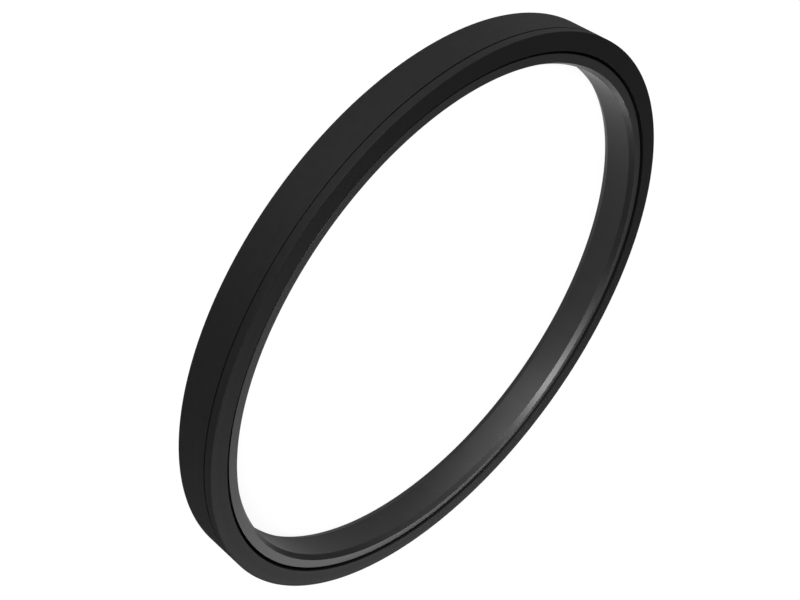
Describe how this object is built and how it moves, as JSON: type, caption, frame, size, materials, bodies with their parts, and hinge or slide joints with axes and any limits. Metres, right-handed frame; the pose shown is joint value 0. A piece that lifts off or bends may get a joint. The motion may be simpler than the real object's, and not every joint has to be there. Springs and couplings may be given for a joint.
{
  "type": "piston seal",
  "caption": "Round double-acting piston seal: a hard slide ring on the outside, pressed outwards by a softer energiser ring inside it.",
  "frame": {"origin": "on the seal's axis, in the plane of the slide ring's rear face, which the seal rests on", "axes": "+Z along the seal's axis towards the front face, the one nearer the fine groove on the running face; the seal is round, so +X and +Y are free choices"},
  "size_m": [0.1, 0.1, 0.0069],
  "materials": {
    "slide_ring": "satin black filled plastic, turned",
    "energiser_ring": "satin black moulded rubber, a shade lighter than the slide ring"
  },
  "bodies": {
    "root": {"slide_ring": "slide_ring", "energiser_ring": "energiser_ring"}
  },
  "joints": []
}
